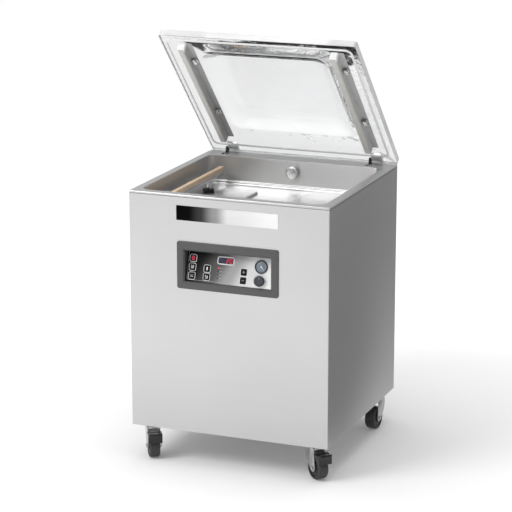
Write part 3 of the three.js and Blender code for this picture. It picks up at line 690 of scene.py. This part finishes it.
rims = [rim("rim", *DISPLAY, 26.2, 9.7, 3.6, 3.5)]
KEYS = {
    "key_program": (-130, 23.4),
    "key_seal": (-130, -5.7),
    "key_stop": (-130, -34.8),
    "key_vacuum": (-78, -6.8),
    "key_gas": (-78, -33.8),
    "key_up": (51, -6.8),
    "key_down": (51, -34.3),
}
SIGNS = {
    "key_seal": ((-3, 3.5, 1.2, 2.5), (3, 3.5, 1.2, 2.5), (0, -3.5, 5, 0.9), (0, 0, 5, 0.6)),
    "key_stop": ((0, 2.5, 5.5, 0.7), (0, -2, 5.5, 1.6)),
    "key_vacuum": ((0, 0, 2.1, 5.5),),
    "key_gas": ((-3, 2.5, 1.6, 2.6), (3, 0, 1.6, 4.2), (0, -4.5, 4.5, 0.8)),
    "key_up": ((0, 0, 4.2, 0.9), (0, 0, 0.9, 4.2)),
    "key_down": ((0, 0, 4.2, 0.9),),
}
GREY_SIGNS = ("key_up", "key_down", "key_stop")
for name, (u, v) in KEYS.items():
    rims.append(rim("rim", u, v, 10.5, 11, 1.9, 4.2))
    key = lean_back(flat(name + "_cap", u, v, 10.3, 10.8, -1.5, 1.15, 4, 0.5))
    complete(key, key_navy if name == "key_program" else key_black, name, [name])
    if name == "key_program":
        sign = joined(name + "_sign", digit("8", u, v, 12, 1.12, 0.15))
        complete(lean_back(sign), lamp_red, name)
    else:
        sign = joined(name + "_sign", [
            flat("bar", u + across, v + up, wide, high, 1.12, 1.25, min(wide, high) * 0.8)
            for across, up, wide, high in SIGNS[name]
        ])
        sign_print = print_grey if name in GREY_SIGNS else print_white
        complete(lean_back(sign), sign_print, name)
complete(lean_back(joined("printed_rims", rims)), print_white)

window = lean_back(flat("display_glass", *DISPLAY, 25.8, 9.3, -12, 0.7, 3, 0.3))
complete(window, display_navy, stands_for=["display_module"])
figures = digit("2", -9, DISPLAY[1], 13, 0.72, 0.15) + digit("0", 3, DISPLAY[1], 13, 0.72, 0.15)
complete(lean_back(joined("display_figures", figures)), lamp_red)

LABELS = ((-30.5, 3.6, 1.3, 0.5), (4, 6.5, 1.3, 0.5), (-20, 1.2, 1.2, 0.5), (-10, 1.0, 0.5, 0.3))
labels = []
for row in range(4):
    v = -1 - 11.2 * row
    clear()
    bpy.ops.mesh.primitive_uv_sphere_add(
        segments=20, ring_count=10, radius=2.4 * MM, location=(-39 * MM, v * MM, 0))
    lamp = bpy.context.object
    lamp.scale = (1, 1, 0.35)
    bpy.ops.object.transform_apply(location=True, scale=True)
    lean_back(lamp)
    lamp.name = f"lamp_{row + 1}"
    complete(lamp, dark_lamp if row else lamp_red)
    for u, half_width, half_height, corner in LABELS:
        labels.append(flat("bar", u, v, half_width, half_height, 0.02, 0.14, corner))
complete(lean_back(joined("printed_labels", labels)), print_grey)
outline = rim("panel_outline", 0, 0, 145.2, 47.2, 1.2, 3)
outline_print = ramp_finish(
    "outline_print", fascia_low.x, fascia_high.x, ((0, 0.5), (0.4, 0.5), (0.7, 0.75), (1, 0.95)), 0.35)
complete(lean_back(outline), outline_print)
board_green = finish(
    "board_green", (0.02, 0.12, 0.05), (0.015, 0.09, 0.04), 0.4, 0.5, (500, 500, 500), 30, 0.02)
carry("control_board", board_green)

# ---- Vacuum gauge and regulator knob ----
# The gauge has a black rolled rim, a blue-grey dial with printed ticks and a white needle on a pin.
# The knob is a knurled moulding with a stepped face and a short pointer line.
gauge_black = finish("gauge_rim", grey(0.016), grey(0.026), 0.2, 0.3, relief=0.01)
dial_grey = finish(
    "gauge_dial", (0.19, 0.23, 0.28), (0.16, 0.19, 0.235), 0.3, 0.4, (200, 200, 200), 40, 0.003)
knob_black = finish("knob_plastic", (0.03, 0.033, 0.045), (0.04, 0.044, 0.058), 0.36, 0.46, relief=0.02)


def disc(name, u, v, radius, low, high, sides=64):
    """A cylinder primitive in millimetres, for shaping; its axis stands on the u, v plane."""
    clear()
    bpy.ops.mesh.primitive_cylinder_add(
        vertices=sides, radius=radius * MM, depth=(high - low) * MM,
        location=(u * MM, v * MM, (low + high) / 2 * MM))
    piece = bpy.context.object
    piece.name = name
    bpy.ops.object.transform_apply(location=True)
    return piece


GAUGE = (110, 16.1)
gauge_middle = Matrix.Translation((GAUGE[0] * MM, GAUGE[1] * MM, 0))
ring = disc("gauge_body", *GAUGE, 21.9, -18, 3.9)
pick(ring, "FACE", lambda face: face.normal.z > 0.9)
bpy.ops.mesh.inset(thickness=3 * MM)
bpy.ops.mesh.extrude_region_move(TRANSFORM_OT_translate={"value": (0, 0, -3.2 * MM)})
done()
round_edges(ring, level(2, 3.9 * MM), 0.9 * MM, 4)
complete(lean_back(ring), gauge_black, stands_for=["vacuum_gauge"])
face = disc("gauge_face", *GAUGE, 18.7, 0.72, 0.95)
round_edges(face, level(2, 0.95 * MM), 0.1 * MM, 2)
complete(lean_back(face), dial_grey)
ticks = []
for step in range(13):
    angle = math.radians(225 - 22.5 * step)
    length = 2.6 if step % 3 == 0 else 1.5
    tick = flat("tick", 16.4 - length / 2, 0, length / 2, 0.4 if step % 3 else 0.6, 0.94, 1.04)
    tick.data.transform(gauge_middle @ Matrix.Rotation(angle, 4, "Z"))
    ticks.append(tick)
complete(lean_back(joined("gauge_ticks", ticks)), print_white)
needle = flat("needle", 5.5, 0, 9.5, 1.5, 1.35, 1.9)
pick(needle, "FACE", lambda face: face.normal.x > 0.9)
bpy.ops.transform.resize(value=(1, 0.25, 1), center_override=(15 * MM, 0, 1.6 * MM))
done()
NEEDLE_REST = math.radians(-48)
needle.data.transform(gauge_middle @ Matrix.Rotation(NEEDLE_REST, 4, "Z"))
boss = disc("boss", *GAUGE, 2.4, 1.4, 2.3, 24)
round_edges(boss, level(2, 2.3 * MM), 0.3 * MM, 2)
needle = joined("gauge_pointer", [needle, boss])
complete(lean_back(needle), print_white, "gauge_needle", ["gauge_needle"])

KNOB = (110, -30.7)
knob = disc("knob_moulding", *KNOB, 15.9, 0.4, 12.4, 72)


def flute(face):
    """Every third face of the knob's side."""
    out = face.calc_center_median() - Vector((KNOB[0] * MM, KNOB[1] * MM, 0))
    turn = math.degrees(math.atan2(out.y, out.x))
    return abs(face.normal.z) < 0.1 and int(round(turn / 5 + 100.5)) % 3 == 0


def crown_edge(edge):
    """The outer edge of the knob's top."""
    x, y, _ = edge.verts[0].co
    return level(2, 12.4 * MM)(edge) and math.hypot(x - KNOB[0] * MM, y - KNOB[1] * MM) > 15 * MM


pick(knob, "FACE", flute)
bpy.ops.mesh.inset(thickness=0.25 * MM, depth=-0.9 * MM, use_individual=True)
done()
pick(knob, "FACE", lambda face: face.normal.z > 0.9 and face.calc_area() > 1e-4)
bpy.ops.mesh.inset(thickness=2.2 * MM)
bpy.ops.mesh.inset(thickness=0.8 * MM, depth=-0.8 * MM)
done()
round_edges(knob, crown_edge, 1 * MM, 3)
complete(lean_back(knob), knob_black, "regulator_knob", ["regulator_knob"])
mark = flat("knob_mark", KNOB[0], KNOB[1] + 9, 0.7, 3, 11.55, 11.8, 0.5)
complete(lean_back(mark), print_grey, "regulator_knob")

# ---- Lid ----
# The lid is one thick clear acrylic moulding with rounded corners and a domed middle, hollow underneath.
# It is shaped closed, level on the rim, and then swung up about the hinge axis to the angle it rests at.
joint = {j["name"]: j for j in frame["joints"]}
hinge = Vector(joint["lid_hinge"]["pos_m"])
OPEN = math.radians(-45.7)
opened = Matrix.Translation(hinge) @ Matrix.Rotation(OPEN, 4, "X") @ Matrix.Translation(-hinge)
LID_UNDER, LID_TOP = RIM / MM + 5, RIM / MM + 30
# The acrylic is tinted grey, with darker cloudy patches. This is painted shade that stands in for the soft
# grey shading that reflections give the dome.
acrylic = finish(
    "clear_acrylic", (0.88, 0.885, 0.89), (0.79, 0.795, 0.8), 0.03, 0.08, (14, 14, 14), 5, 1.8,
    Transmission_Weight=1.0, IOR=1.36)
satin_edge = finish(
    "acrylic_edge", grey(0.9), grey(0.82), 0.35, 0.45, (40, 40, 40), 12, 0.05,
    Transmission_Weight=0.35, IOR=1.3)


def swing_open(piece):
    """Takes a piece of the closed lid to where it stands open."""
    piece.data.transform(opened)
    return piece


def tapered_block(name, low, high, corner, draw_in, edge):
    """A block with rounded corners whose top face is drawn in, so that its walls lean."""
    piece = block(name, low, high)
    round_edges(piece, along(2), corner * MM, 8)
    size = high - low
    pick(piece, "FACE", lambda face: face.normal.z > 0.9)
    bpy.ops.transform.resize(
        value=(1 - 2 * draw_in * MM / size.x, 1 - 2 * draw_in * MM / size.y, 1),
        center_override=tuple((low + high) / 2),
    )
    done()
    round_edges(piece, level(2, high.z), edge * MM, 8)
    return piece


lid = block("lid_moulding", spot(-348, 4, LID_UNDER), spot(348, 681, LID_TOP))
round_edges(lid, along(2), 12 * MM, 6)
round_edges(lid, lambda e: level(2, LID_TOP * MM)(e) or level(2, LID_UNDER * MM)(e), 2.5 * MM, 3)
dome = tapered_block("dome", spot(-236, 88, LID_TOP - 4), spot(236, 535, LID_TOP + 32.8), 46, 44, 20)
combine(lid, dome, "UNION")
hollow = tapered_block("hollow", spot(-230, 94, LID_UNDER - 5), spot(230, 529, LID_UNDER + 45), 42, 46, 26)
combine(lid, hollow)


def mouth_edge(edge):
    """The edge of the hollow in the lid's underside."""
    return level(2, LID_UNDER * MM)(edge) and all(
        abs(v.co.x - MIDDLE) < 232 * MM and spot(0, 92, 0).y < v.co.y < spot(0, 531, 0).y for v in edge.verts)


round_edges(lid, mouth_edge, 6 * MM, 5)
lid.data.materials.append(acrylic)
lid.data.materials.append(satin_edge)
for face in lid.data.polygons:
    at_side = abs(face.normal.x) > 0.6 and abs(face.center.x - MIDDLE) > 335 * MM
    between = spot(0, 17, 0).y < face.center.y < spot(0, 668, 0).y
    at_end = abs(face.normal.y) > 0.6 and not between
    face.material_index = 1 if at_side or at_end else 0
complete(swing_open(lid), None, "lid", ["lid_shell"], 40)

# ---- Lid gasket ----
# A moulded white rubber profile runs round the underside of the lid, with rounded corners and a soft face.
# It is pressed on to the acrylic and meets the rim when the lid is shut.
gasket_white = finish("gasket_white", grey(0.8), grey(0.7), 0.45, 0.55, (400, 400, 400), 12, 0.02)
GASKET_WIDTH, GASKET_CORNER = 8, 25
gasket_low, gasket_high = spot(-331, 20, RIM / MM + 0.4), spot(331, 632, LID_UNDER - 0.35)
gasket = block("lid_gasket_ring", gasket_low, gasket_high)
round_edges(gasket, along(2), GASKET_CORNER * MM, 8)
within = block("within", gasket_low + Vector((GASKET_WIDTH, GASKET_WIDTH, -10)) * MM,
               gasket_high + Vector((-GASKET_WIDTH, -GASKET_WIDTH, 10)) * MM)
round_edges(within, along(2), (GASKET_CORNER - GASKET_WIDTH) * MM, 8)
combine(gasket, within)
soften(gasket, 1.6 * MM, 3, 60)
complete(swing_open(gasket), gasket_white, "lid", ["lid_gasket"])

# ---- Counter-pressure bars ----
# Under the lid each side has a grey plastic bar on a screwed flange, with a pale silicone strip on its face
# and a white cap on its front end. Two chrome thumb screws hold each flange.
counter_grey = finish("counter_grey", grey(0.46), grey(0.38), 0.4, 0.5, (700, 700, 700), 10, 0.02)
silicone = finish(
    "counter_silicone", (0.56, 0.55, 0.53), (0.5, 0.49, 0.47), 0.5, 0.6, (500, 500, 500), 10, 0.03)
cap_white = finish("end_cap_white", grey(0.86), grey(0.8), 0.35, 0.45, (900, 900, 900), 10, 0.01)
chrome = finish("chrome", grey(0.66), grey(0.5), 0.06, 0.12, (60, 60, 60), 10, 0.002, Metallic=1.0)
black_steel = finish(
    "black_steel", grey(0.014), grey(0.024), 0.26, 0.36, (600, 600, 600), 20, 0.01,
    Metallic=0.3, Specular_IOR_Level=0.28)
FACE = RIM / MM - 25
BAR_NEAR, BAR_FAR = 41, 576
for label, side in (("left", -1), ("right", 1)):
    x = side * CLAMP_X
    top = LID_UNDER - 0.3
    body = block(f"counter_bar_{label}_body", spot(x - 12, BAR_NEAR, FACE + 4), spot(x + 12, BAR_FAR, top))
    combine(body, block("flange", spot(x + 11, BAR_NEAR, top - 3), spot(x + 32, BAR_FAR, top)), "UNION")
    soften(body, 0.9 * MM, 3, 60)
    complete(swing_open(body), counter_grey, "lid", [f"counter_bar_{label}"])
    strip_top = FACE + 3.7
    strip = block(
        f"counter_silicone_{label}_strip", spot(x - 10, BAR_NEAR, FACE), spot(x + 10, BAR_FAR, strip_top))
    round_edges(strip, lambda e: along(1)(e) and level(2, FACE * MM)(e), 1.8 * MM, 5)
    complete(swing_open(strip), silicone, "lid", [f"counter_silicone_{label}"])
    end = block(
        f"counter_bar_{label}_cap", spot(x - 12.6, 39.5, FACE + 1.2), spot(x + 12.6, 54, LID_UNDER - 0.35))
    soften(end, 1.2 * MM, 3, 60)
    complete(swing_open(end), cap_white, "lid")
    screws = []
    for y in (126, 413):
        stem = disc("screw", x + 24, y, 4.5, 0, 13, 24)
        head = disc("screw", x + 24, y, 9.5, -2, 8, 48)
        pick(head, "FACE", lambda face: abs(face.normal.z) < 0.1 and face.index % 2 == 0)
        bpy.ops.mesh.inset(thickness=0.1 * MM, depth=-0.35 * MM, use_individual=True)
        done()
        round_edges(head, level(2, -2 * MM), 1.5 * MM, 3)
        pair = joined("screw", [head, stem])
        pair.data.transform(Matrix.Translation(spot(0, 0, LID_UNDER - 16.4)))
        screws.append(pair)
    complete(swing_open(joined(f"counter_bar_{label}_screws", screws)), chrome, "lid")

# ---- Hinge arms, clamps and shaft ----
# A black arm on the shaft comes up through the rim at each side, and a chrome block grips the lid's rear edge
# with two cap screws. The arms, clamps and shaft keep their packed outline, with broken edges.


def from_packed(node, name, width, segments=3, angle=35):
    """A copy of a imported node, merged, with its edges rounded off."""
    piece = bpy.data.objects.new(name, frame["nodes"][node].data.copy())
    bpy.context.scene.collection.objects.link(piece)
    only(piece)
    bpy.ops.object.mode_set(mode="EDIT")
    bpy.ops.mesh.select_all(action="SELECT")
    bpy.ops.mesh.remove_doubles(threshold=0.000002)
    bpy.ops.mesh.dissolve_limited(angle_limit=math.radians(1))
    done()
    if width:
        soften(piece, width, segments, angle)
    return piece


def packed(node, name, width, material, body="root", segments=3, angle=35):
    """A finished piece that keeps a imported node's shape and stands for it."""
    return complete(from_packed(node, name, width, segments, angle), material, body, [node])


for label, side in (("left", -1), ("right", 1)):
    x = side * CLAMP_X
    packed(f"hinge_arm_{label}", f"hinge_arm_{label}_plate", 0.8 * MM, black_steel, "lid")
    clamp = from_packed(f"lid_clamp_{label}", f"lid_clamp_{label}_block", 2 * MM, 4)
    complete(clamp, chrome, "lid", [f"lid_clamp_{label}"])
    screws = []
    for offset in (-11, 11):
        screw = disc("screw", x + offset, 668, 5, 0, 5, 40)
        pick(screw, "FACE", lambda face: face.normal.z > 0.9)
        bpy.ops.mesh.inset(thickness=2.3 * MM)
        bpy.ops.mesh.extrude_region_move(TRANSFORM_OT_translate={"value": (0, 0, -2.8 * MM)})
        done()
        round_edges(screw, level(2, 5 * MM), 0.4 * MM, 2)
        screw.data.transform(Matrix.Translation(spot(0, 0, LID_TOP + 14)))
        screws.append(screw)
    complete(swing_open(joined(f"lid_clamp_{label}_screws", screws)), screw_steel, "lid")
zinc = finish("zinc_steel", grey(0.62), grey(0.48), 0.28, 0.42, (90, 90, 90), 25, 0.015, Metallic=1.0)
packed("hinge_shaft", "hinge_shaft_bar", 0.6 * MM, zinc, "lid", 2, 50)

# ---- Hinge frame and gas spring ----
# A folded zinc-plated shelf with two cheeks carries the shaft. The gas spring stands on it: a black cylinder
# with a bright rod whose slotted eye takes the lever's pin.
spring_black = finish("spring_paint", grey(0.015), grey(0.025), 0.3, 0.4, (700, 700, 700), 20, 0.015)
packed("hinge_frame", "hinge_frame_plates", 0.5 * MM, zinc, segments=2, angle=50)
packed("gas_cylinder", "gas_spring_tube", 0.8 * MM, spring_black, segments=2, angle=50)
packed("gas_rod", "gas_spring_rod", 0.4 * MM, chrome, "gas_rod", 2, 50)

# ---- Seal bars ----
# Each seal bar is an aluminium bar with tan glass-cloth tape over its upper part. It sits on a rail whose two
# polished rods slide up through black collars in the chamber floor.
tape = finish("seal_tape", (0.76, 0.58, 0.41), (0.66, 0.49, 0.34), 0.5, 0.62, (1600, 1600, 400), 30, 0.05)
bar_alloy = finish("bar_alloy", grey(0.7), grey(0.62), 0.25, 0.35, (600, 4, 600), 6, 0.01, Metallic=1.0)
rod_steel = finish(
    "polished_steel", grey(0.78), grey(0.7), 0.1, 0.18, (500, 500, 500), 20, 0.004, Metallic=1.0)
collar_black = finish(
    "guide_plastic", grey(0.014), grey(0.024), 0.28, 0.38, (900, 900, 900), 20, 0.015,
    Specular_IOR_Level=0.28)
TAPE = 14 * MM
BARE = 0.6 * MM
for label in ("left", "right"):
    body = f"seal_{label}"
    low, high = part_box(f"seal_bar_{label}")
    bar = block(
        f"seal_bar_{label}_body", low + Vector((BARE, BARE, 0)), high - Vector((BARE, BARE, TAPE)))
    complete(bar, bar_alloy, body, [f"seal_bar_{label}"])
    strip = block(f"seal_bar_{label}_tape", Vector((low.x, low.y, high.z - TAPE)), high)
    round_edges(strip, lambda e: along(1)(e) and level(2, high.z)(e), 1.6 * MM, 4)
    round_edges(strip, lambda e: along(0)(e) and level(2, high.z)(e), 1 * MM, 3)
    complete(strip, tape, body)
    packed(
        f"seal_lift_{label}", f"seal_lift_{label}_rods", 0.6 * MM, rod_steel, body, 2, 50)
    packed(
        f"seal_guide_{label}", f"seal_guide_{label}_body", 0.8 * MM, collar_black, angle=50)

# ---- Machinery inside the cabinet ----
# Pump and motor castings in blue-grey machine paint, a plain rubber hose, the valve block, the sealing
# transformer and the mains inlet. The cabinet hides them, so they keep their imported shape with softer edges.
machine_paint = finish(
    "machine_paint", (0.045, 0.085, 0.14), (0.035, 0.07, 0.12), 0.38, 0.5, (500, 500, 500), 15, 0.06)
hose_rubber = finish("hose_rubber", grey(0.02), grey(0.03), 0.6, 0.75, (900, 900, 900), 20, 0.04)
valve_alloy = finish("valve_alloy", grey(0.5), grey(0.42), 0.35, 0.5, (400, 400, 400), 20, 0.03, Metallic=0.9)
core_steel = finish(
    "core_steel", (0.13, 0.12, 0.12), (0.09, 0.085, 0.08), 0.5, 0.65, (3, 900, 3), 20, 0.04, Metallic=0.7)
packed("vacuum_pump", "vacuum_pump_casting", 2.5 * MM, machine_paint, angle=50)
packed("pump_motor", "pump_motor_casing", 2 * MM, machine_paint, angle=50)
carry("vacuum_hose", hose_rubber)
packed("valve_block", "valve_block_body", 1 * MM, valve_alloy, angle=50)
packed(
    "sealing_transformer", "sealing_transformer_core", 1.5 * MM, core_steel, angle=50)
inlet_black = finish("inlet_black", grey(0.015), grey(0.024), 0.36, 0.46, (900, 900, 900), 20, 0.02)
packed("mains_inlet", "mains_inlet_body", 0.5 * MM, inlet_black, segments=2, angle=50)
inlet_low, inlet_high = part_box("mains_inlet")
pins = []
for offset, height in ((-7, -2.5), (0, 2.5), (7, -2.5)):
    x = (inlet_low.x + inlet_high.x) / 2 + offset * MM
    z = (inlet_low.z + inlet_high.z) / 2 + height * MM
    pin = block("pin", Vector((x - 1 * MM, inlet_high.y - 18.5 * MM, z - 2 * MM)),
                Vector((x + 1 * MM, inlet_high.y - 4 * MM, z + 2 * MM)))
    soften(pin, 0.3 * MM, 2, 60)
    pins.append(pin)
complete(joined("mains_inlet_pins", pins), screw_steel)

# ---- Casters ----
# Each caster has a zinc mounting plate with its swivel boss, a zinc fork with axle nuts, and a black wheel
# with a rounded dark grey tread. The front two carry a black moulded brake pedal over the wheel.
tread = finish("caster_tread", grey(0.045), grey(0.032), 0.5, 0.62, (500, 500, 500), 20, 0.05)
hub_black = finish(
    "caster_hub", grey(0.012), grey(0.02), 0.22, 0.34, (700, 700, 700), 20, 0.015, Specular_IOR_Level=0.28)
pedal_black = finish(
    "pedal_black", grey(0.006), grey(0.012), 0.14, 0.22, (600, 600, 600), 20, 0.01, Specular_IOR_Level=0.45)
WHEEL_RADIUS, TRAIL, HALF_TREAD, LEG_OUTSIDE = 40, 14, 18, 22.3
AXLE = WHEEL_RADIUS * math.cos(math.pi / 32)


def wheel(name, body, node, placed):
    """A tyre with rounded shoulders and a dished hub on both sides, set on its axle."""
    tyre = disc(name, 0, 0, WHEEL_RADIUS - 0.2, -HALF_TREAD, HALF_TREAD, 72)
    for end in (-HALF_TREAD, HALF_TREAD):
        round_edges(tyre, level(2, end * MM), 5.5 * MM, 6)
    for sign in (-1, 1):
        pick(tyre, "FACE", lambda face: face.normal.z * sign > 0.99 and face.calc_area() > 1e-4)
        bpy.ops.mesh.inset(thickness=3 * MM)
        bpy.ops.mesh.inset(thickness=1.2 * MM, depth=-2.5 * MM)
        bpy.ops.mesh.inset(thickness=14 * MM, depth=0.8 * MM)
        bpy.ops.mesh.inset(thickness=2 * MM, depth=4 * MM)
        done()
    only(tyre)
    tyre.data.materials.append(tread)
    tyre.data.materials.append(hub_black)
    for face in tyre.data.polygons:
        reach = max(Vector(tyre.data.vertices[v].co[:2]).length for v in face.vertices)
        face.material_index = 1 if reach < (WHEEL_RADIUS - 7.5) * MM else 0
    on_axle = Matrix.Translation((0, -TRAIL * MM, AXLE * MM)) @ Matrix.Rotation(math.pi / 2, 4, "Y")
    tyre.data.transform(placed @ on_axle)
    complete(tyre, None, body, [node])


for corner in ("front_left", "front_right", "rear_left", "rear_right"):
    centre = Vector(joint[f"swivel_{corner}"]["pos_m"])
    axle = Vector(joint[f"wheel_roll_{corner}"]["axis"])
    placed = Matrix.Translation((centre.x, centre.y, 0)) @ Matrix.Rotation(math.atan2(axle.y, axle.x), 4, "Z")
    packed(f"caster_plate_{corner}", f"caster_plate_{corner}_steel", 0.8 * MM, zinc, angle=50)
    packed(
        f"caster_fork_{corner}", f"caster_fork_{corner}_steel", 0.6 * MM, zinc,
        f"fork_{corner}", 2, 40)
    wheel(f"caster_wheel_{corner}_tyre", f"wheel_{corner}", f"caster_wheel_{corner}", placed)
    nuts = []
    for sign in (-1, 1):
        nut = disc("nut", 0, 0, 7.5, 0, 4.2, 6)
        round_edges(nut, level(2, 4.2 * MM), 0.8 * MM, 2)
        at_leg = Matrix.Translation((sign * LEG_OUTSIDE * MM, -TRAIL * MM, AXLE * MM))
        nut.data.transform(placed @ at_leg @ Matrix.Rotation(sign * math.pi / 2, 4, "Y"))
        nuts.append(nut)
    complete(joined(f"caster_nuts_{corner}", nuts), screw_steel, f"fork_{corner}")
    if corner.startswith("front"):
        pedal = from_packed(f"brake_pedal_{corner}", f"brake_pedal_{corner}_moulding", 0)
        outline = block("outline", Vector((-24, -67.8, 40)) * MM, Vector((24, 30, 120)) * MM)
        round_edges(outline, along(2), 9 * MM, 8)
        outline.data.transform(placed)
        combine(pedal, outline, "INTERSECT")
        soften(pedal, 1.6 * MM, 3, 25)
        complete(pedal, pedal_black, f"pedal_{corner}", [f"brake_pedal_{corner}"], 50)
